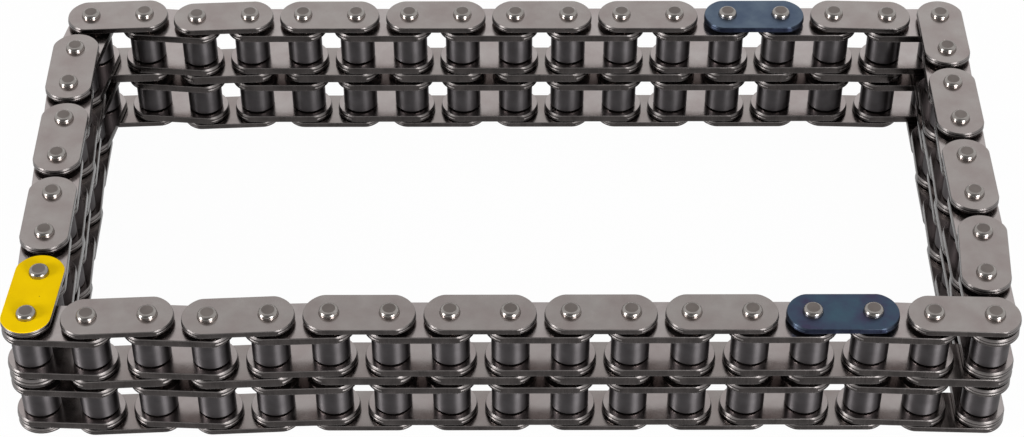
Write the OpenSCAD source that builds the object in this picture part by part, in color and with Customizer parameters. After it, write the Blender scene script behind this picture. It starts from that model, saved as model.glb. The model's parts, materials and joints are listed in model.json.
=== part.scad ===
// Endless duplex roller chain for a timing drive, lying on its side as a long loop.
// Millimetres. The pins stand along Z, the loop's long sides run along X and the lower
// pin ends stand on Z = 0. Outer and inner links alternate around the loop.

/* [Links] */
// distance between neighbouring pins
pitch = 9.525; // [9:0.025:10.5]
// height of every plate between its straight sides
plate_height = 8; // [7.4:0.1:8.2]
// radius of the plates' round ends, about the pins
end_radius = 4.15; // [4.1:0.05:4.4]
// thickness of the top and bottom outer plates
outer_thick = 1; // [0.8:0.05:1.5]
// thickness of the plate between the two strands
middle_thick = 1.7; // [1:0.1:2]
// thickness of the inner plates
inner_thick = 1.35; // [1:0.05:1.6]
// clear width between the two inner plates of a strand
inner_width = 6.05; // [5:0.05:7]

/* [Pins, bushes and rollers] */
// diameter of the pins
pin_d = 3.2; // [2.8:0.05:3.5]
// length of pin that stands out of an outer plate
pin_stand = 0.95; // [0.6:0.05:1.4]
// bevel around each pin end
pin_bevel = 0.45; // [0.1:0.05:0.55]
// wall of the bushes
bush_wall = 0.65; // [0.5:0.05:0.75]
// length of bush that stands out of an inner plate
bush_stand = 0.2; // [0.1:0.05:0.6]
// wall of the rollers
roller_wall = 0.725; // [0.5:0.025:0.8]
// bevel around each roller end
roller_bevel = 0.2; // [0.1:0.05:0.35]

/* [Fits] */
// gap all round a pin in its bush, and a bush in its roller
running_gap = 0.05; // [0.02:0.01:0.1]
// gap all round a pressed seat
press_gap = 0.01; // [0.01:0.005:0.02]
// gap under a bush: the chain lies on its side, so the inner links have slid down the pins
rest_gap = 0.05; // [0.02:0.01:0.1]
// gap between a bush and the plate above it
side_play = 0.5; // [0.1:0.05:0.7]
// gap at each end of a roller
roller_play = 0.15; // [0.05:0.05:0.3]

/* [Lie of the loop] */
// turn of the yellow-marked link, and of the outer link that faces it across the loop
mark_turn = -4.5; // [-8:0.1:4]
// turn of the other outer links on the short sides
side_outer_turn = 0.2; // [-3:0.1:3]
// turn of the left side's first three inner links
left_inner_turn = 2.7; // [-3:0.1:4]
// turn of the left side's last inner link
corner_turn = -10; // [-12:0.5:2]
// turn of the right side's first two inner links
right_inner_turn = 0.4; // [-3:0.1:3]
// turn of the front row's two leftmost outer links, and of those that face them
left_end_turn = 3; // [-4:0.1:4]
// turn of the front row's rightmost outer link, and of the one that faces it
right_end_turn = -2; // [-4:0.1:4]
// turn of the front row's two leftmost inner links
front_inner_turn = -2.8; // [-4:0.1:3]
// turn of the front row's third inner link from the left
front_third_turn = 1.8; // [-3:0.1:3]
// turn of the front row's rightmost inner link
front_right_turn = -2.6; // [-4:0.1:3]
// turn of the back row's leftmost inner link
back_inner_turn = -5.3; // [-7:0.1:4]

/* [Hidden] */
$fn = 64;

// links along a long side and along a short side
long_links = 16;
short_links = 8;
right_start = long_links;
front_start = right_start + short_links;
left_start = front_start + long_links;
link_count = left_start + short_links;
pairs = link_count / 2;

// outer links, by number, whose top plates are coloured timing marks: the first of the left
// side, the back row's last but one and the front row's second
yellow_link = left_start / 2 + 1;
blue_back_link = right_start / 2 - 1;
blue_front_link = front_start / 2 + 2;
marked = [yellow_link, blue_back_link, blue_front_link];

// round sizes, from the pin outwards
bush_bore = pin_d + 2 * running_gap;
bush_d = bush_bore + 2 * bush_wall;
roller_bore = bush_d + 2 * running_gap;
roller_d = roller_bore + 2 * roller_wall;
pin_seat = pin_d + 2 * press_gap;
bush_seat = bush_d + 2 * press_gap;

// levels, from the floor up
gap_below = bush_stand + rest_gap;
gap_above = bush_stand + side_play;
strand_width = inner_width + 2 * inner_thick;
bottom_z = pin_stand;
lower_strand_z = bottom_z + outer_thick + gap_below;
middle_z = lower_strand_z + strand_width + gap_above;
upper_strand_z = middle_z + middle_thick + gap_below;
top_z = upper_strand_z + strand_width + gap_above;
pin_length = top_z + outer_thick + pin_stand;

// the right side's last two inner links and the rest of the back row's inner links take up
// what the other turns leave, so that the last pin meets the first
front_reach = 2 * cos(front_inner_turn) + cos(front_third_turn) + cos(front_right_turn);
row_change = front_reach - cos(back_inner_turn) - 3;
left_shift = 3 * sin(left_inner_turn) + sin(corner_turn);
right_back_turn = asin((left_shift + row_change) / 2 - sin(right_inner_turn));
left_reach = 3 * cos(left_inner_turn) + cos(corner_turn);
right_reach = 2 * cos(right_inner_turn) + 2 * cos(right_back_turn);
front_drop = 2 * sin(front_inner_turn) + sin(front_third_turn) + sin(front_right_turn);
row_drop = front_drop - sin(back_inner_turn);
back_slope = asin((right_reach - left_reach + row_drop) / (long_links / 2 - 1));

// turns are anticlockwise seen from above; an outer link and the one that faces it across
// the loop share a turn, and links are counted from the loop's left end or front row
function row_outer_turn(from_left) =
  from_left < 2 ? left_end_turn
  : from_left == long_links / 2 - 1 ? right_end_turn
  : 0;
function back_turn(j) =
  j % 2 == 0 ? row_outer_turn(j / 2)
  : j == 1 ? back_inner_turn
  : back_slope;
function front_turn(j) =
  j % 2 == 1 ? row_outer_turn((j - 1) / 2)
  : j < 4 ? front_inner_turn
  : j == 4 ? front_third_turn
  : j == long_links - 2 ? front_right_turn
  : 0;
function left_turn(j) =
  j == 0 ? mark_turn
  : j % 2 == 0 ? side_outer_turn
  : j == short_links - 1 ? corner_turn
  : left_inner_turn;
function right_turn(j) =
  j == 1 ? mark_turn
  : j % 2 == 1 ? side_outer_turn
  : j < short_links / 2 ? right_inner_turn
  : right_back_turn;

// direction of a link, going clockwise round the loop from its back left corner
function heading(i) =
  i < right_start ? back_turn(i)
  : i < front_start ? right_turn(front_start - 1 - i) - 90
  : i < left_start ? front_turn(left_start - 1 - i) + 180
  : left_turn(i - left_start) + 90;
function ahead(i) = pitch * [cos(heading(i)), sin(heading(i))];
function pin_at(i) = i == 0 ? [0, 0] : pin_at(i - 1) + ahead(i - 1);

pins = [for (i = [0 : link_count - 1]) pin_at(i)];
pins_x = [for (at = pins) at[0]];
pins_y = [for (at = pins) at[1]];
loop_middle = [min(pins_x) + max(pins_x), min(pins_y) + max(pins_y)] / 2;

function two_digits(k) = k < 10 ? str("0", k) : str(k);
function outer_name(k) = str("outer_link_", two_digits(k));
function inner_name(k) = str("inner_link_", two_digits(k));

// moves a link from the origin, where it lies along X, to its place in the loop
module place(i) {
  at = pins[i] + ahead(i) / 2 - loop_middle;
  translate([at[0], at[1], 0])
    rotate([0, 0, heading(i)])
      children();
}

module place_outer(k) {
  place(2 * k - 2) children();
}

module place_inner(k) {
  place(2 * k - 1) children();
}

module at_both_ends() {
  for (side = [-1, 1])
    translate([side * pitch / 2, 0])
      children();
}

// a strip's straight sides, cut to round ends
module plate_outline() {
  intersection() {
    square([pitch + 3 * end_radius, plate_height], center = true);
    union() {
      square([pitch, plate_height], center = true);
      at_both_ends() circle(r = end_radius);
    }
  }
}

module plate(z, thick, hole) {
  translate([0, 0, z])
    linear_extrude(thick)
      difference() {
        plate_outline();
        at_both_ends() circle(d = hole);
      }
}

// half section turned into a ring, with a bevel at both outer rims
module ring(outer, bore, length, bevel) {
  rotate_extrude()
    polygon([
      [bore / 2, 0],
      [outer / 2 - bevel, 0],
      [outer / 2, bevel],
      [outer / 2, length - bevel],
      [outer / 2 - bevel, length],
      [bore / 2, length]
    ]);
}

module pin() {
  rotate_extrude()
    polygon([
      [0, 0],
      [pin_d / 2 - pin_bevel, 0],
      [pin_d / 2, pin_bevel],
      [pin_d / 2, pin_length - pin_bevel],
      [pin_d / 2 - pin_bevel, pin_length],
      [0, pin_length]
    ]);
}

module bush() {
  translate([0, 0, -bush_stand])
    difference() {
      cylinder(d = bush_d, h = strand_width + 2 * bush_stand);
      translate([0, 0, -1])
        cylinder(d = bush_bore, h = strand_width + 2 * bush_stand + 2);
    }
}

module roller() {
  translate([0, 0, inner_thick + roller_play])
    ring(roller_d, roller_bore, inner_width - 2 * roller_play, roller_bevel);
}

module top_plate() {
  plate(top_z, outer_thick, pin_seat);
}

// two pins through the bottom, middle and top plates; a marked top plate is its own piece
module outer_link(k) {
  color([0.52, 0.51, 0.5])
    place_outer(k) {
      plate(bottom_z, outer_thick, pin_seat);
      plate(middle_z, middle_thick, pin_seat);
      if (len(search(k, marked)) == 0)
        top_plate();
      at_both_ends() pin();
    }
}

// one strand of an inner link: two plates, two bushes and a roller on each bush
module strand(z) {
  translate([0, 0, z]) {
    plate(0, inner_thick, bush_seat);
    plate(inner_thick + inner_width, inner_thick, bush_seat);
    at_both_ends() bush();
    at_both_ends() roller();
  }
}

module inner_link(k) {
  color([0.4, 0.39, 0.38])
    place_inner(k) {
      strand(lower_strand_z);
      strand(upper_strand_z);
    }
}

module yellow_mark_plate() {
  color([0.9, 0.72, 0.02])
    place_outer(yellow_link) top_plate();
}

module blue_mark_plate_back() {
  color([0.13, 0.19, 0.36])
    place_outer(blue_back_link) top_plate();
}

module blue_mark_plate_front() {
  color([0.16, 0.27, 0.45])
    place_outer(blue_front_link) top_plate();
}

for (k = [1 : pairs]) {
  outer_link(k);
  inner_link(k);
}
yellow_mark_plate();
blue_mark_plate_back();
blue_mark_plate_front();
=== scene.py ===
"""Looks of a duplex timing chain: plates, pins, bushes and rollers, dressed link by link."""

import json
import math

import bmesh
import bpy
from mathutils import Matrix, Vector

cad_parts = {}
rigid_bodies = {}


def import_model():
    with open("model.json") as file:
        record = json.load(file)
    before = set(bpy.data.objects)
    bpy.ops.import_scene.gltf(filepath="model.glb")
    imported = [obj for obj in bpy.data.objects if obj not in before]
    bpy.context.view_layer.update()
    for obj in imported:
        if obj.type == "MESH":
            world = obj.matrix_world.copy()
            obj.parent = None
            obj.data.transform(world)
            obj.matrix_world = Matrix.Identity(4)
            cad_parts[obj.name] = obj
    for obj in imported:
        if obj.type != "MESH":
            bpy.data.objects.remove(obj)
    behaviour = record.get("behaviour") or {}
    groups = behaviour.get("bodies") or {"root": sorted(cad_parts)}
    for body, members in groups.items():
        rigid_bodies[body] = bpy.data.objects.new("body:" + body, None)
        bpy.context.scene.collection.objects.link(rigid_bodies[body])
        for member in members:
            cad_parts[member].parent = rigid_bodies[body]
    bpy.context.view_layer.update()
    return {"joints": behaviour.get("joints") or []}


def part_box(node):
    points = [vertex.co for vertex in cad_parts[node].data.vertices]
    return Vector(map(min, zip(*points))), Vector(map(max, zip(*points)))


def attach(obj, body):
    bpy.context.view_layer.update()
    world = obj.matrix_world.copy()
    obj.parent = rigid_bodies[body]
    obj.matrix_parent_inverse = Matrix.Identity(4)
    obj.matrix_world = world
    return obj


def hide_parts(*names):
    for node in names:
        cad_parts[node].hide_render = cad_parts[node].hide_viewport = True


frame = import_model()

# Sizes of the chain, in metres
MM = 0.001
PITCH = 9.525 * MM
PLATE_HEIGHT = 8.0 * MM
END_RADIUS = 4.2 * MM
CORNER_RADIUS = 2.5 * MM
OUTER_THICK = 1.0 * MM
MIDDLE_THICK = 1.7 * MM
INNER_THICK = 1.35 * MM
INNER_WIDTH = 6.05 * MM
PIN_RADIUS = 1.6 * MM
PIN_STAND = 0.95 * MM
PIN_BEVEL = 0.55 * MM
BUSH_BORE = 1.65 * MM
BUSH_RADIUS = 2.3 * MM
BUSH_STAND = 0.2 * MM
ROLLER_BORE = 2.35 * MM
ROLLER_RADIUS = 3.075 * MM
ROLLER_PLAY = 0.15 * MM
REST_GAP = 0.05 * MM
SIDE_PLAY = 0.5 * MM
PRESS_GAP = 0.01 * MM

# Levels, from the floor up
GAP_BELOW = BUSH_STAND + REST_GAP
GAP_ABOVE = BUSH_STAND + SIDE_PLAY
STRAND_WIDTH = INNER_WIDTH + 2 * INNER_THICK
BOTTOM_Z = PIN_STAND
LOWER_Z = BOTTOM_Z + OUTER_THICK + GAP_BELOW
MIDDLE_Z = LOWER_Z + STRAND_WIDTH + GAP_ABOVE
UPPER_Z = MIDDLE_Z + MIDDLE_THICK + GAP_BELOW
TOP_Z = UPPER_Z + STRAND_WIDTH + GAP_ABOVE
PIN_LENGTH = TOP_Z + OUTER_THICK + PIN_STAND

# Edges of the plates. The straight sides are a plain strip's. The press tool leaves the round ends with a
# rolled edge, a smooth band and a torn band that stands out a little.
BURR_EDGE = 0.06 * MM
STRIP_EDGE = 0.05 * MM
END_BLEND = 2.6 * MM
# shares of the plate's thickness
ROLL_IN = 0.12
ROLL_DOWN = 0.36
TORN_STEP = 0.05
TORN_START = 0.3
TORN_RISE = 0.16
# points of the rolled edge, from the smooth band up to the face: shares of the way in and of the way down
ROLL_CURVE = [(0, 1), (0.3, 0.55), (0.62, 0.2), (1, 0)]

# Edges of the holes, rollers, bushes and pins, and the paint on the yellow plate
HOLE_EDGE = 0.06 * MM
ROLLER_EDGE = 0.24 * MM
ROLLER_BORE_EDGE = 0.1 * MM
BUSH_EDGE = 0.1 * MM
# angle by which a pin's rounded bevel falls short of its end face and of its wall, in degrees
PIN_CREASE = 12
PAINT_FILM = 0.03 * MM
PAINT_MARGIN = 0.03 * MM
# share of a plate's thickness from which the paint covers its rolled edge
PAINT_START = 0.95

# How far a face's normal points up or down: a flat face's more than the first, a wall's less than the second
FLAT_TILT = 0.999
WALL_TILT = 0.2

# Points nearer than this are one
MERGE_DISTANCE = 1e-7

# Steps around an arc
END_STEPS = 16
CORNER_STEPS = 3
BURR_STEPS = 2
EDGE_STEPS = 3
HOLE_STEPS = 28
PIN_STEPS = 32
PIN_BEVEL_STEPS = 5
ROLLER_STEPS = 48
BUSH_STEPS = 28

LINK_PAIRS = 24
YELLOW_LINK = 21
BLUE_BACK_LINK = 7
BLUE_FRONT_LINK = 14

# Camera, as the photograph was taken: angles in degrees, places in metres
CAMERA_ELEVATION = 42.66
CAMERA_AZIMUTH = 0.0
CAMERA_ROLL = -0.1
CAMERA_TARGET = Vector((0.11 * MM, -16.97 * MM, PIN_LENGTH))
CAMERA_DISTANCE = 408.3 * MM
CAMERA_VIEW_ANGLE = 23.12
CAMERA_NEAR = 10 * MM

# UV map that runs round a shape, and the quarter turn that lays the grain along it
ROUND_MAP = "around"
GRAIN_TURN = 0.25
FLANK_GRAIN = 0.85
# share of the temper colour's drift that follows the plate's length
TEMPER_DRIFT = 0.09

# Patch sizes and depths of the finishes, in metres
CLOUD_SIZE = 5 * MM
SMEAR_SIZE = 2.2 * MM
GRAIN_SIZE = 0.12 * MM
GRAIN_DEPTH = 0.004 * MM
SHEAR_SIZE = 0.3 * MM
SHEAR_DEPTH = 0.01 * MM
FLANK_STAIN_SIZE = 3 * MM
TURNING_SIZE = 0.1 * MM
TURNING_DEPTH = 0.003 * MM
ROUND_STAIN_SIZE = 2.5 * MM
WEAR_SIZE = 0.8 * MM
PAINT_PATCH_SIZE = 3.5 * MM
PAINT_SPECK_SPACING = 2.6 * MM
PAINT_ORANGE_PEEL = 0.5 * MM
PAINT_PEEL_DEPTH = 0.02 * MM
TEMPER_SIZE = 4 * MM
TEMPER_SMEAR_SIZE = 1.5 * MM


# Node helpers
def add_node(tree, kind, settings=None, **inputs):
    """Adds a node. An input is a value or another node's output, and _ in its name stands for a space."""
    made = tree.nodes.new(kind)
    for key, value in (settings or {}).items():
        setattr(made, key, value)
    for key, value in inputs.items():
        socket = made.inputs[key.replace("_", " ")]
        if isinstance(value, bpy.types.NodeSocket):
            tree.links.new(value, socket)
        else:
            socket.default_value = value
    return made


def new_finish(name):
    """A material with its node tree, shader and Object coordinates."""
    material = bpy.data.materials.new(name)
    material.use_nodes = True
    tree = material.node_tree
    shader = tree.nodes["Principled BSDF"]
    place = add_node(tree, "ShaderNodeTexCoord").outputs["Object"]
    return material, tree, shader, place


def stretched(tree, place, stretch):
    """Object coordinates scaled along each axis."""
    return add_node(tree, "ShaderNodeMapping", Vector=place, Scale=stretch).outputs["Vector"]


def noise(tree, place, size, detail=2.0, roughness=0.5):
    """Noise whose patches are about size metres across."""
    made = add_node(
        tree, "ShaderNodeTexNoise", Vector=place, Scale=1 / size, Detail=detail, Roughness=roughness
    )
    return made.outputs["Fac"]


def ramp(tree, factor, stops):
    """Colours along a factor: stops are (place, red, green, blue)."""
    made = add_node(tree, "ShaderNodeValToRGB", Fac=factor)
    elements = made.color_ramp.elements
    while len(elements) < len(stops):
        elements.new(0.5)
    for element, (at, *colour) in zip(elements, stops):
        element.position = at
        element.color = (*colour, 1)
    return made.outputs["Color"]


def spread(tree, factor, low, high, start=0.3, end=0.7):
    """Maps a factor, by default the useful middle of a noise, to a span of values."""
    made = add_node(
        tree,
        "ShaderNodeMapRange",
        {"clamp": True},
        Value=factor,
        From_Min=start,
        From_Max=end,
        To_Min=low,
        To_Max=high,
    )
    return made.outputs["Result"]


def bump(tree, height, depth, strength):
    """A bump of the given depth in metres."""
    made = add_node(tree, "ShaderNodeBump", Height=height, Distance=depth, Strength=strength)
    return made.outputs["Normal"]


def connect(tree, shader, **inputs):
    """Links outputs to the shader's sockets."""
    for key, value in inputs.items():
        tree.links.new(value, shader.inputs[key.replace("_", " ")])


# Finishes
def satin_steel(name, dark, light, rough):
    """Tumbled plate face: cloudy grey with a fine grain."""
    material, tree, shader, place = new_finish(name)
    clouds = noise(tree, place, CLOUD_SIZE, 4.0, 0.55)
    grain = noise(tree, place, GRAIN_SIZE)
    shader.inputs["Metallic"].default_value = 1.0
    connect(
        tree,
        shader,
        Base_Color=ramp(tree, clouds, [(0.3, *dark), (0.7, *light)]),
        Roughness=spread(tree, noise(tree, place, SMEAR_SIZE, 3.0), rough - 0.04, rough + 0.05),
        Normal=bump(tree, grain, GRAIN_DEPTH, 0.6),
    )
    return material


def sheared_steel(name, dark, light, rough):
    """Flank or rim left by the press tool, with marks that run across the plate's thickness; the flank's dark
    base colour is painted shade.
    """
    material, tree, shader, place = new_finish(name)
    marks = noise(tree, stretched(tree, place, (1, 1, 0.12)), SHEAR_SIZE, 3.0, 0.6)
    stains = noise(tree, place, FLANK_STAIN_SIZE, 3.0)
    tone = add_node(tree, "ShaderNodeMath", {"operation": "MULTIPLY_ADD"}, Value=marks)
    tone.inputs[1].default_value = 0.6
    tree.links.new(spread(tree, stains, 0.0, 0.4), tone.inputs[2])
    shader.inputs["Metallic"].default_value = 1.0
    shader.inputs["Anisotropic"].default_value = FLANK_GRAIN
    shader.inputs["Anisotropic Rotation"].default_value = GRAIN_TURN
    around = add_node(tree, "ShaderNodeTangent", {"direction_type": "UV_MAP", "uv_map": ROUND_MAP})
    connect(
        tree,
        shader,
        Base_Color=ramp(tree, tone.outputs["Value"], [(0.3, *dark), (0.75, *light)]),
        Roughness=spread(tree, marks, rough - 0.05, rough + 0.06),
        Normal=bump(tree, marks, SHEAR_DEPTH, 0.4),
        Tangent=around.outputs["Tangent"],
    )
    return material


def turned_steel(name, dark, light, rough, grain_along):
    """Round surface with fine turning marks that run round it."""
    material, tree, shader, place = new_finish(name)
    marks = noise(tree, stretched(tree, place, (0.04, 0.04, 1)), TURNING_SIZE, 2.0, 0.6)
    stains = noise(tree, place, ROUND_STAIN_SIZE, 3.0)
    shader.inputs["Metallic"].default_value = 1.0
    shader.inputs["Anisotropic"].default_value = grain_along
    shader.inputs["Anisotropic Rotation"].default_value = GRAIN_TURN
    around = add_node(tree, "ShaderNodeTangent", {"direction_type": "UV_MAP", "uv_map": ROUND_MAP})
    connect(
        tree,
        shader,
        Base_Color=ramp(tree, stains, [(0.3, *dark), (0.7, *light)]),
        Roughness=spread(tree, marks, rough - 0.05, rough + 0.05),
        Normal=bump(tree, marks, TURNING_DEPTH, 0.5),
        Tangent=around.outputs["Tangent"],
    )
    return material


def edge_steel(name, dark, light, rough):
    """Worn edge or bevel with patches of wear: polished by handling on the pins' bevels, and darkened as
    painted shade on the rollers' eased edges.
    """
    material, tree, shader, place = new_finish(name)
    wear = noise(tree, place, WEAR_SIZE, 3.0, 0.6)
    shader.inputs["Metallic"].default_value = 1.0
    connect(
        tree,
        shader,
        Base_Color=ramp(tree, wear, [(0.3, *dark), (0.7, *light)]),
        Roughness=spread(tree, wear, rough + 0.06, rough - 0.04),
    )
    return material


def yellow_paint():
    """Brushed-on marking paint with a few dark specks."""
    material, tree, shader, place = new_finish("yellow_paint")
    film = noise(tree, place, PAINT_PATCH_SIZE, 3.0)
    specks = add_node(tree, "ShaderNodeTexVoronoi", Vector=place, Scale=1 / PAINT_SPECK_SPACING)
    colour = ramp(tree, film, [(0.3, 0.77, 0.505, 0.001), (0.7, 0.84, 0.565, 0.001)])
    speck = spread(tree, specks.outputs["Distance"], 1.0, 0.0, 0.02, 0.05)
    mixed = add_node(tree, "ShaderNodeMix", {"data_type": "RGBA"})
    tree.links.new(speck, mixed.inputs[0])
    tree.links.new(colour, mixed.inputs[6])
    mixed.inputs[7].default_value = (0.16, 0.1, 0.01, 1)
    shader.inputs["Metallic"].default_value = 0.0
    shader.inputs["Specular IOR Level"].default_value = 0.02
    connect(
        tree,
        shader,
        Base_Color=mixed.outputs[2],
        Roughness=spread(tree, film, 0.42, 0.55),
        Normal=bump(tree, noise(tree, place, PAINT_ORANGE_PEEL, 3.0), PAINT_PEEL_DEPTH, 0.3),
    )
    return material


def blue_steel(name, stops, rough):
    """Temper colour: navy that drifts to violet around the pins and to teal between them, in patches."""
    material, tree, shader, place = new_finish(name)
    mapped = add_node(tree, "ShaderNodeUVMap", {"uv_map": ROUND_MAP}).outputs["UV"]
    along = add_node(tree, "ShaderNodeSeparateXYZ", Vector=mapped).outputs["X"]
    turn = add_node(tree, "ShaderNodeMath", {"operation": "MULTIPLY"}, Value=along)
    turn.inputs[1].default_value = 2 * math.pi
    wave = add_node(tree, "ShaderNodeMath", {"operation": "COSINE"}, Value=turn.outputs["Value"])
    drift = add_node(tree, "ShaderNodeMath", {"operation": "MULTIPLY_ADD"}, Value=wave.outputs["Value"])
    drift.inputs[1].default_value = TEMPER_DRIFT
    tree.links.new(noise(tree, place, TEMPER_SIZE, 3.0, 0.6), drift.inputs[2])
    shader.inputs["Metallic"].default_value = 1.0
    connect(
        tree,
        shader,
        Base_Color=ramp(tree, drift.outputs["Value"], stops),
        Roughness=spread(tree, noise(tree, place, TEMPER_SMEAR_SIZE, 3.0), rough - 0.05, rough + 0.06),
        Normal=bump(tree, noise(tree, place, GRAIN_SIZE), GRAIN_DEPTH, 0.6),
    )
    return material


FACE = satin_steel("plate_face", (0.331, 0.285, 0.275), (0.392, 0.361, 0.346), 0.2)
# Inner plates' faces: a lighter copy of the plate face, painted light where the outer plates shade them.
LIT_INNER_FACE = satin_steel("inner_plate_face_painted_light", (0.412, 0.357, 0.349), (0.491, 0.452, 0.44), 0.18)
# Plate undersides: a darker copy of the face steel, painted shade under the plates.
SHADED_UNDERSIDE = satin_steel("plate_underside_painted_shade", (0.17, 0.15, 0.145), (0.23, 0.205, 0.198), 0.24)
# The flank's dark base colour is painted shade: the plate's steel, darkened for the dark surroundings it
# faces.
FLANK = sheared_steel("plate_flank_painted_shade", (0.037, 0.033, 0.032), (0.068, 0.06, 0.058), 0.24)
RIM = sheared_steel("plate_rim", (0.165, 0.151, 0.147), (0.227, 0.209, 0.204), 0.42)
# The rollers' dark gunmetal tone is partly their own and partly painted shade, standing in for the dark
# surroundings they reflect.
ROLLER = turned_steel("roller_steel", (0.076, 0.07, 0.072), (0.1, 0.093, 0.096), 0.54, 0.9)
# The rollers' eased edges are painted shade: a darker copy of the roller steel where the rollers meet the
# plates.
SHADED_ROLLER_RIM = edge_steel("roller_rim_painted_shade", (0.045, 0.04, 0.04), (0.075, 0.068, 0.068), 0.28)
BUSH = turned_steel("bush_steel", (0.14, 0.128, 0.122), (0.2, 0.184, 0.176), 0.32, 0.4)
PIN_WALL = turned_steel("pin_steel", (0.36, 0.327, 0.308), (0.455, 0.417, 0.396), 0.24, 0.4)
PIN_DISC = satin_steel("pin_end", (0.15, 0.13, 0.121), (0.205, 0.18, 0.167), 0.36)
PIN_RING = edge_steel("pin_bevel", (0.24, 0.222, 0.209), (0.33, 0.308, 0.292), 0.22)
YELLOW = yellow_paint()
BLUE_FRONT = blue_steel(
    "blue_front_temper",
    [(0.28, 0.058, 0.054, 0.1), (0.48, 0.056, 0.078, 0.124), (0.74, 0.058, 0.105, 0.146)],
    0.36,
)
BLUE_BACK = blue_steel(
    "blue_back_temper",
    [(0.3, 0.072, 0.1, 0.157), (0.7, 0.118, 0.158, 0.211)],
    0.4,
)
# The blue plate's flank is painted shade too: a darker copy of its temper colour.
BLUE_SHADED_FLANK = sheared_steel("blue_flank_painted_shade", (0.01, 0.012, 0.024), (0.03, 0.038, 0.068), 0.45)
BLUE_RIM = sheared_steel("blue_rim", (0.036, 0.047, 0.07), (0.066, 0.085, 0.118), 0.42)


# Shapes, each made at the origin
def arc(centre_reach, centre_z, radius, start, turn, steps):
    """Points of an arc in a profile, as (reach, height), turning from start, in degrees."""
    turns = [math.radians(start + turn * i / steps) for i in range(steps + 1)]
    return [(centre_reach + radius * math.cos(t), centre_z + radius * math.sin(t)) for t in turns]


def profile_wire(bm, points, closed):
    """Wire in the XZ plane through (reach, height) points."""
    verts = [bm.verts.new((reach, 0, height)) for reach, height in points]
    pairs = list(zip(verts, verts[1:]))
    if closed:
        pairs.append((verts[-1], verts[0]))
    edges = [bm.edges.new(pair) for pair in pairs]
    return verts + edges


def spin_shape(bm, points, steps, closed):
    """Spins a profile into a whole ring about Z."""
    wire = profile_wire(bm, points, closed)
    bmesh.ops.spin(
        bm, geom=wire, axis=(0, 0, 1), cent=(0, 0, 0), angle=2 * math.pi, steps=steps, use_merge=True
    )
    bmesh.ops.remove_doubles(bm, verts=bm.verts, dist=MERGE_DISTANCE)
    bmesh.ops.recalc_face_normals(bm, faces=bm.faces)


def flank_profile(thick, torn_step, roll_in, roll_down):
    """Outer edge of a plate, from its lower face round to its upper one."""
    smooth = END_RADIUS - torn_step
    low = arc(END_RADIUS - BURR_EDGE, BURR_EDGE, BURR_EDGE, -90, 90, BURR_STEPS)
    torn = [
        (END_RADIUS - share * torn_step, (TORN_START + share * TORN_RISE) * thick) for share in (0, 0.5, 1)
    ]
    rolled = [
        (smooth - share_in * roll_in, thick - share_down * roll_down)
        for share_in, share_down in ROLL_CURVE
    ]
    return low + torn + rolled


def press_ends(bm, ring, strip, pressed):
    """Moves the round ends' walls from the strip's profile to the one that the press tool leaves."""
    for vert in bm.verts:
        past_pin = min(max((abs(vert.co.x) - PITCH / 2) / END_BLEND, 0), 1)
        share = past_pin**2 * (3 - 2 * past_pin)
        outward = Vector((vert.co.x - math.copysign(PITCH / 2, vert.co.x), vert.co.y, 0)).normalized()
        reach, height = strip[vert[ring]]
        new_reach, new_height = pressed[vert[ring]]
        vert.co += share * ((new_reach - reach) * outward + Vector((0, 0, new_height - height)))


def round_ended_wall(bm, strip, pressed):
    """Takes a profile round a plate's outline: round one end, along a straight side, and the same again."""
    ring = bm.verts.layers.int.new("ring")
    ends = profile_wire(bm, strip, False)
    for index, vert in enumerate(ends[: len(strip)]):
        vert[ring] = index
    across = PLATE_HEIGHT / 2 - CORNER_RADIUS
    along = math.sqrt((END_RADIUS - CORNER_RADIUS) ** 2 - across**2)
    corner_turn = math.atan2(along, across)
    bmesh.ops.rotate(bm, verts=bm.verts, cent=(0, 0, 0), matrix=Matrix.Rotation(-math.pi / 2, 3, "Z"))
    bmesh.ops.translate(bm, verts=bm.verts, vec=(PITCH / 2 + along, END_RADIUS - PLATE_HEIGHT / 2, 0))
    for side in (1, -1):
        for shift, centre_y, turn, steps in (
            (along, -side * across, corner_turn, CORNER_STEPS),
            (0, 0, math.pi - 2 * corner_turn, END_STEPS),
            (along, side * across, corner_turn, CORNER_STEPS),
        ):
            centre = (side * (PITCH / 2 + shift), centre_y, 0)
            turned = bmesh.ops.spin(
                bm, geom=ends, axis=(0, 0, 1), cent=centre, angle=turn, steps=steps, use_merge=False
            )
            ends = turned["geom_last"]
        run = bmesh.ops.extrude_edge_only(bm, edges=[e for e in ends if isinstance(e, bmesh.types.BMEdge)])
        moved = [v for v in run["geom"] if isinstance(v, bmesh.types.BMVert)]
        bmesh.ops.scale(bm, verts=moved, vec=(-1, 1, 1))
        ends = moved + [e for e in run["geom"] if isinstance(e, bmesh.types.BMEdge)]
    bmesh.ops.remove_doubles(bm, verts=bm.verts, dist=MERGE_DISTANCE)
    press_ends(bm, ring, strip, pressed)
    bm.verts.layers.int.remove(ring)


def hole_wall(bm, radius, thick, side):
    """Wall of one hole, with a small bevel at both faces."""
    start = set(bm.verts)
    points = [
        (radius + HOLE_EDGE, 0),
        (radius, HOLE_EDGE),
        (radius, thick - HOLE_EDGE),
        (radius + HOLE_EDGE, thick),
    ]
    wire = profile_wire(bm, points, False)
    bmesh.ops.spin(
        bm, geom=wire, axis=(0, 0, 1), cent=(0, 0, 0), angle=2 * math.pi, steps=HOLE_STEPS, use_merge=True
    )
    made = [v for v in bm.verts if v not in start]
    bmesh.ops.translate(bm, verts=made, vec=(side * PITCH / 2, 0, 0))


def close_face(bm, height):
    """Fills the face of a plate between its outline and its two holes."""
    rim = [
        e
        for e in bm.edges
        if e.is_boundary and all(abs(v.co.z - height) < MERGE_DISTANCE for v in e.verts)
    ]
    bmesh.ops.triangle_fill(bm, edges=rim, use_beauty=True, normal=(0, 0, 1))


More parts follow.
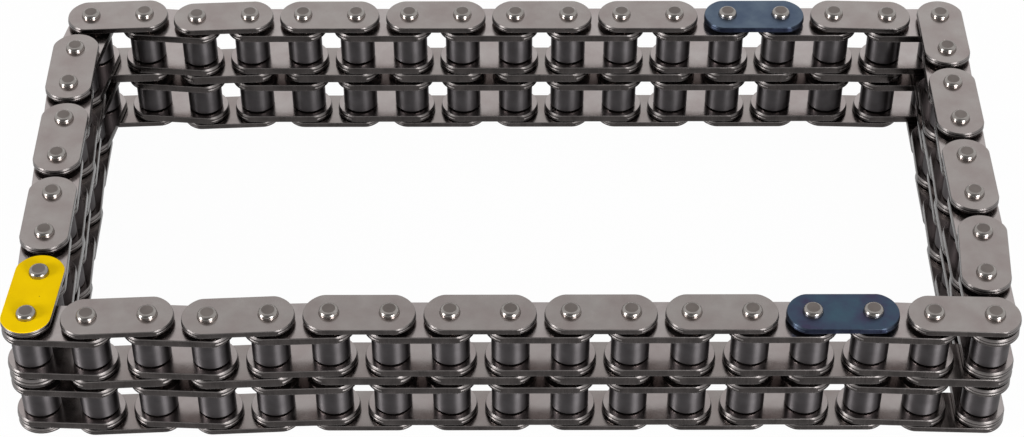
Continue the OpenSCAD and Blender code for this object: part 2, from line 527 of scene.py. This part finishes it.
def wrap_flank(bm):
    """UV map that runs along a plate's walls, so that their grain follows the outline."""
    layer = bm.loops.layers.uv.new(ROUND_MAP)
    for face in bm.faces:
        wall = abs(face.normal.z) < FLAT_TILT
        along = Vector((-face.normal.y, face.normal.x, 0)).normalized() if wall else Vector((1, 0, 0))
        across = Vector((0, 0, 1)) if wall else Vector((0, 1, 0))
        for loop in face.loops:
            loop[layer].uv = (loop.vert.co.dot(along) / PITCH, loop.vert.co.dot(across) / PITCH)


def plate_shape(thick, hole_radius, painted=False):
    """A plate with round ends at height 0; its slots are underside, flank, rim and top face."""
    bm = bmesh.new()
    strip = flank_profile(thick, 0, STRIP_EDGE, STRIP_EDGE)
    pressed = flank_profile(thick, TORN_STEP * thick, ROLL_IN * thick, ROLL_DOWN * thick)
    top = thick
    if painted:
        top = thick + PAINT_FILM
        for points in (strip, pressed):
            reach = points[-1][0] - PAINT_MARGIN
            points += [(reach, thick), (reach - PAINT_FILM, top)]
    round_ended_wall(bm, strip, pressed)
    for side in (-1, 1):
        hole_wall(bm, hole_radius, top, side)
    for height in (0, top):
        close_face(bm, height)
    bmesh.ops.recalc_face_normals(bm, faces=bm.faces)
    for face in bm.faces:
        tilt = face.normal.z
        film = painted and face.calc_center_median().z > PAINT_START * thick
        face.smooth = abs(tilt) < FLAT_TILT
        if film or tilt > FLAT_TILT:
            face.material_index = 3
        elif tilt < -FLAT_TILT:
            face.material_index = 0
        else:
            face.material_index = 1 if abs(tilt) < WALL_TILT else 2
    wrap_flank(bm)
    return bm


def wrap_round(bm):
    """UV map that runs round a turned shape, so that its grain follows the surface."""
    layer = bm.loops.layers.uv.new(ROUND_MAP)
    for face in bm.faces:
        middle = face.calc_center_median()
        facing = math.atan2(middle.y, middle.x)
        for loop in face.loops:
            at = loop.vert.co
            turn = math.atan2(at.y, at.x) - facing
            turn = (turn + math.pi) % (2 * math.pi) - math.pi
            loop[layer].uv = ((facing + turn) / (2 * math.pi), at.z / PIN_LENGTH)


def pin_shape():
    """A pin with rounded bevels at its ends; its slots are wall, end disc and bevel."""
    bm = bmesh.new()
    disc = PIN_RADIUS - PIN_BEVEL
    steep, flat = (math.radians(angle) for angle in (90 - PIN_CREASE, PIN_CREASE))
    radius = PIN_BEVEL / (math.cos(flat) - math.cos(steep))
    low = [(0, 0)] + arc(
        disc - radius * math.cos(steep),
        radius * math.sin(steep),
        radius,
        PIN_CREASE - 90,
        90 - 2 * PIN_CREASE,
        PIN_BEVEL_STEPS,
    )
    high = [(reach, PIN_LENGTH - height) for reach, height in reversed(low)]
    spin_shape(bm, low + high, PIN_STEPS, False)
    wrap_round(bm)
    for face in bm.faces:
        tilt = abs(face.normal.z)
        face.smooth = tilt < FLAT_TILT
        face.material_index = 0 if tilt < WALL_TILT else 2 if tilt < FLAT_TILT else 1
    return bm


def ring_shape(bore, radius, length, bore_edge, outer_edge, steps):
    """A tube with eased edges; its slots are wall and edge."""
    bm = bmesh.new()
    points = [(bore, bore_edge), (bore + bore_edge, 0)]
    points += arc(radius - outer_edge, outer_edge, outer_edge, -90, 90, EDGE_STEPS)
    points += arc(radius - outer_edge, length - outer_edge, outer_edge, 0, 90, EDGE_STEPS)
    points += [(bore + bore_edge, length), (bore, length - bore_edge)]
    spin_shape(bm, points, steps, True)
    wrap_round(bm)
    for face in bm.faces:
        tilt = abs(face.normal.z)
        face.smooth = tilt < FLAT_TILT
        face.material_index = 0 if tilt < WALL_TILT else 1
    return bm


def mesh_of(bm, name, finishes):
    """A mesh that holds a shape with its finishes."""
    mesh = bpy.data.meshes.new(name)
    bm.to_mesh(mesh)
    bm.free()
    for finish in finishes:
        mesh.materials.append(finish)
    return mesh


def joined(name, parts):
    """One mesh from (mesh, place) pairs that share their finishes."""
    bm = bmesh.new()
    for mesh, place in parts:
        copy = mesh.copy()
        copy.transform(place)
        bm.from_mesh(copy)
        bpy.data.meshes.remove(copy)
    return mesh_of(bm, name, parts[0][0].materials)


def both_ends(mesh, heights):
    """The same mesh at both pins of a link, at each height."""
    return [
        (mesh, Matrix.Translation((side * PITCH / 2, 0, z))) for z in heights for side in (-1, 1)
    ]


def raised(mesh, z):
    """A mesh lifted to a height."""
    return (mesh, Matrix.Translation((0, 0, z)))


PIN_SEAT = PIN_RADIUS + PRESS_GAP
BUSH_SEAT = BUSH_RADIUS + PRESS_GAP
STEEL = [SHADED_UNDERSIDE, FLANK, RIM, FACE]
INNER_STEEL = [SHADED_UNDERSIDE, FLANK, RIM, LIT_INNER_FACE]
outer = mesh_of(plate_shape(OUTER_THICK, PIN_SEAT), "outer", STEEL)
middle = mesh_of(plate_shape(MIDDLE_THICK, PIN_SEAT), "middle", STEEL)
inner = mesh_of(plate_shape(INNER_THICK, BUSH_SEAT), "inner", INNER_STEEL)
yellow_plate = mesh_of(
    plate_shape(OUTER_THICK, PIN_SEAT, painted=True), "yellow_plate", [SHADED_UNDERSIDE, FLANK, RIM, YELLOW]
)
blue_front = mesh_of(
    plate_shape(OUTER_THICK, PIN_SEAT), "blue_front", [BLUE_FRONT, BLUE_SHADED_FLANK, BLUE_RIM, BLUE_FRONT]
)
blue_back = mesh_of(
    plate_shape(OUTER_THICK, PIN_SEAT), "blue_back", [BLUE_BACK, BLUE_SHADED_FLANK, BLUE_RIM, BLUE_BACK]
)
pin = mesh_of(pin_shape(), "pin", [PIN_WALL, PIN_DISC, PIN_RING])
roller = mesh_of(
    ring_shape(
        ROLLER_BORE, ROLLER_RADIUS, INNER_WIDTH - 2 * ROLLER_PLAY, ROLLER_BORE_EDGE, ROLLER_EDGE, ROLLER_STEPS
    ),
    "roller",
    [ROLLER, SHADED_ROLLER_RIM],
)
bush = mesh_of(
    ring_shape(BUSH_BORE, BUSH_RADIUS, STRAND_WIDTH + 2 * BUSH_STAND, BUSH_EDGE, BUSH_EDGE, BUSH_STEPS),
    "bush",
    [BUSH, BUSH],
)

# Sets of pieces for one link, lying along X at the origin
lower_plates = joined("lower_plates", [raised(outer, BOTTOM_Z), raised(middle, MIDDLE_Z)])
top_plate = joined("top_plate", [raised(outer, TOP_Z)])
pins = joined("pins", both_ends(pin, [0]))
inner_plates = joined(
    "inner_plates",
    [raised(inner, z + step) for z in (LOWER_Z, UPPER_Z) for step in (0, INNER_THICK + INNER_WIDTH)],
)
bushes = joined("bushes", both_ends(bush, [z - BUSH_STAND for z in (LOWER_Z, UPPER_Z)]))
rollers = joined("rollers", both_ends(roller, [z + INNER_THICK + ROLLER_PLAY for z in (LOWER_Z, UPPER_Z)]))
yellow_mark = joined("yellow_mark", [raised(yellow_plate, TOP_Z)])
blue_mark_back = joined("blue_mark_back", [raised(blue_back, TOP_Z)])
blue_mark_front = joined("blue_mark_front", [raised(blue_front, TOP_Z)])
mark_plates = {
    YELLOW_LINK: ("yellow_mark_plate", yellow_mark, "yellow_paint"),
    BLUE_BACK_LINK: ("blue_mark_plate_back", blue_mark_back, "blue_steel"),
    BLUE_FRONT_LINK: ("blue_mark_plate_front", blue_mark_front, "blue_steel"),
}


# Links in their places
def link_place(body):
    """Carries a link that lies along X at the origin to its place in the loop."""
    low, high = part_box(body)
    centre = (low + high) / 2
    pin_place = next(Vector(j["pos_m"]) for j in frame["joints"] if body in (j["parent"], j["child"]))
    along = pin_place - centre
    turn = Matrix.Rotation(math.atan2(along.y, along.x), 4, "Z")
    return Matrix.Translation((centre.x, centre.y, 0)) @ turn


def fit_piece(name, mesh, body, node):
    """Puts a copy of a link's mesh in place as a piece that rides on its body and stands for its node."""
    placed = mesh.copy()
    placed.transform(link_place(body))
    placed.name = name
    piece = bpy.data.objects.new(name, placed)
    bpy.context.scene.collection.objects.link(piece)
    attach(piece, body)
    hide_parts(node)


for k in range(1, LINK_PAIRS + 1):
    link = f"outer_link_{k:02d}"
    fit_piece(f"{link}_pins", pins, link, link)
    fit_piece(f"{link}_lower_plates", lower_plates, link, link)
    if k in mark_plates:
        mark, mesh, slot = mark_plates[k]
        fit_piece(f"{mark}_dressed", mesh, link, mark)
    else:
        fit_piece(f"{link}_top_plate", top_plate, link, link)
    link = f"inner_link_{k:02d}"
    fit_piece(f"{link}_plates", inner_plates, link, link)
    fit_piece(f"{link}_bushes", bushes, link, link)
    fit_piece(f"{link}_rollers", rollers, link, link)


# Floor, world and lamps
FLOOR_SIZE = 4.0
FLOOR_TONE = 0.95
# share of plain white in the floor that the camera sees; the rest takes the chain's shadow
FLOOR_WHITE = 0.97
# level of the world for diffuse light
WORLD_FILL = 0.62

# Darker parts of the studio as the metal reflects it, the unlit side with the camera and a dim patch of the
# ceiling behind the chain: direction, level, and the cosines between which the shade sets in
DARK_PARTS = [
    (Vector((0, -0.92, 0.39)), 0.25, (0.4, 0.82)),
    (Vector((0, 0.6, 0.8)), 0.66, (0.94, 0.99)),
]


def is_ray(tree, first, *others):
    """1 for rays of the named kinds and 0 for other light."""
    path = add_node(tree, "ShaderNodeLightPath")
    total = path.outputs[first]
    for ray in others:
        summed = add_node(tree, "ShaderNodeMath", {"operation": "MAXIMUM"})
        tree.links.new(total, summed.inputs[0])
        tree.links.new(path.outputs[ray], summed.inputs[1])
        total = summed.outputs["Value"]
    return total


def floor_finish():
    """Pale floor that reads white but keeps a soft shadow."""
    material, tree, shader, _ = new_finish("pale_floor")
    shader.inputs["Base Color"].default_value = (FLOOR_TONE, FLOOR_TONE, FLOOR_TONE, 1)
    shader.inputs["Roughness"].default_value = 0.9
    shader.inputs["Specular IOR Level"].default_value = 0.0
    white = add_node(tree, "ShaderNodeEmission", Color=(1, 1, 1, 1), Strength=1.0)
    seen = is_ray(tree, "Is Camera Ray", "Is Glossy Ray", "Is Transmission Ray")
    share = spread(tree, seen, 0.0, FLOOR_WHITE, 0.0, 1.0)
    mixed = add_node(tree, "ShaderNodeMixShader", Fac=share)
    tree.links.new(shader.outputs["BSDF"], mixed.inputs[1])
    tree.links.new(white.outputs["Emission"], mixed.inputs[2])
    tree.links.new(mixed.outputs["Shader"], tree.nodes["Material Output"].inputs["Surface"])
    return material


def lay_floor():
    """Floor that the chain lies on, as staging."""
    bm = bmesh.new()
    bmesh.ops.create_grid(bm, x_segments=1, y_segments=1, size=FLOOR_SIZE / 2)
    floor = bpy.data.objects.new("floor", mesh_of(bm, "floor", [floor_finish()]))
    bpy.context.scene.collection.objects.link(floor)


def light_world():
    """White surroundings, with their darker parts in reflections only."""
    world = bpy.data.worlds.new("studio")
    bpy.context.scene.world = world
    world.use_nodes = True
    tree = world.node_tree
    background = tree.nodes["Background"]
    background.inputs["Color"].default_value = (1, 1, 1, 1)
    direction = add_node(tree, "ShaderNodeTexCoord").outputs["Generated"]
    lit = add_node(tree, "ShaderNodeMath", {"operation": "MULTIPLY"})
    for socket, (towards, level, cosines) in zip(lit.inputs, DARK_PARTS):
        nearness = add_node(tree, "ShaderNodeVectorMath", {"operation": "DOT_PRODUCT"})
        tree.links.new(direction, nearness.inputs[0])
        nearness.inputs[1].default_value = towards.normalized()
        tree.links.new(spread(tree, nearness.outputs["Value"], 1.0, level, *cosines), socket)
    level = add_node(tree, "ShaderNodeMix", {"data_type": "FLOAT"})
    tree.links.new(is_ray(tree, "Is Glossy Ray", "Is Transmission Ray"), level.inputs["Factor"])
    plain = spread(tree, is_ray(tree, "Is Camera Ray"), WORLD_FILL, 1.0, 0.0, 1.0)
    tree.links.new(plain, level.inputs["A"])
    tree.links.new(lit.outputs["Value"], level.inputs["B"])
    tree.links.new(level.outputs["Result"], background.inputs["Strength"])


def soft_lamp(name, azimuth, elevation, distance, width, height, brightness):
    """Area lamp that faces the chain. Azimuth 0 is the camera's side and grows to the right, in degrees."""
    a, e = math.radians(azimuth), math.radians(elevation)
    place = Vector((math.sin(a) * math.cos(e), -math.cos(a) * math.cos(e), math.sin(e))) * distance
    lamp = bpy.data.lights.new(name, "AREA")
    lamp.shape = "RECTANGLE"
    lamp.size = width
    lamp.size_y = height
    lamp.energy = brightness * math.pi * width * height
    holder = bpy.data.objects.new(name, lamp)
    holder.location = place
    holder.rotation_euler = place.to_track_quat("Z", "Y").to_euler()
    bpy.context.scene.collection.objects.link(holder)


def set_camera():
    """Camera at the photograph's place."""
    a, e, r = (math.radians(x) for x in (CAMERA_AZIMUTH, CAMERA_ELEVATION, CAMERA_ROLL))
    back = Vector((math.sin(a) * math.cos(e), -math.cos(a) * math.cos(e), math.sin(e)))
    right = Vector((math.cos(a), math.sin(a), 0))
    up = back.cross(right)
    level_right = math.cos(r) * right + math.sin(r) * up
    level_up = math.cos(r) * up - math.sin(r) * right
    data = bpy.data.cameras.new("camera")
    data.angle = math.radians(CAMERA_VIEW_ANGLE)
    data.clip_start = CAMERA_NEAR
    camera = bpy.data.objects.new("camera", data)
    bpy.context.scene.collection.objects.link(camera)
    turn = Matrix((level_right, level_up, back)).transposed().to_4x4()
    camera.matrix_world = Matrix.Translation(CAMERA_TARGET + back * CAMERA_DISTANCE) @ turn
    bpy.context.scene.camera = camera


lay_floor()
light_world()
soft_lamp("right_softbox", azimuth=35, elevation=14, distance=0.8, width=0.34, height=0.34, brightness=16)
soft_lamp("left_strip", azimuth=-67, elevation=14, distance=0.7, width=0.18, height=0.34, brightness=19)
set_camera()
bpy.context.scene.view_settings.view_transform = "Standard"
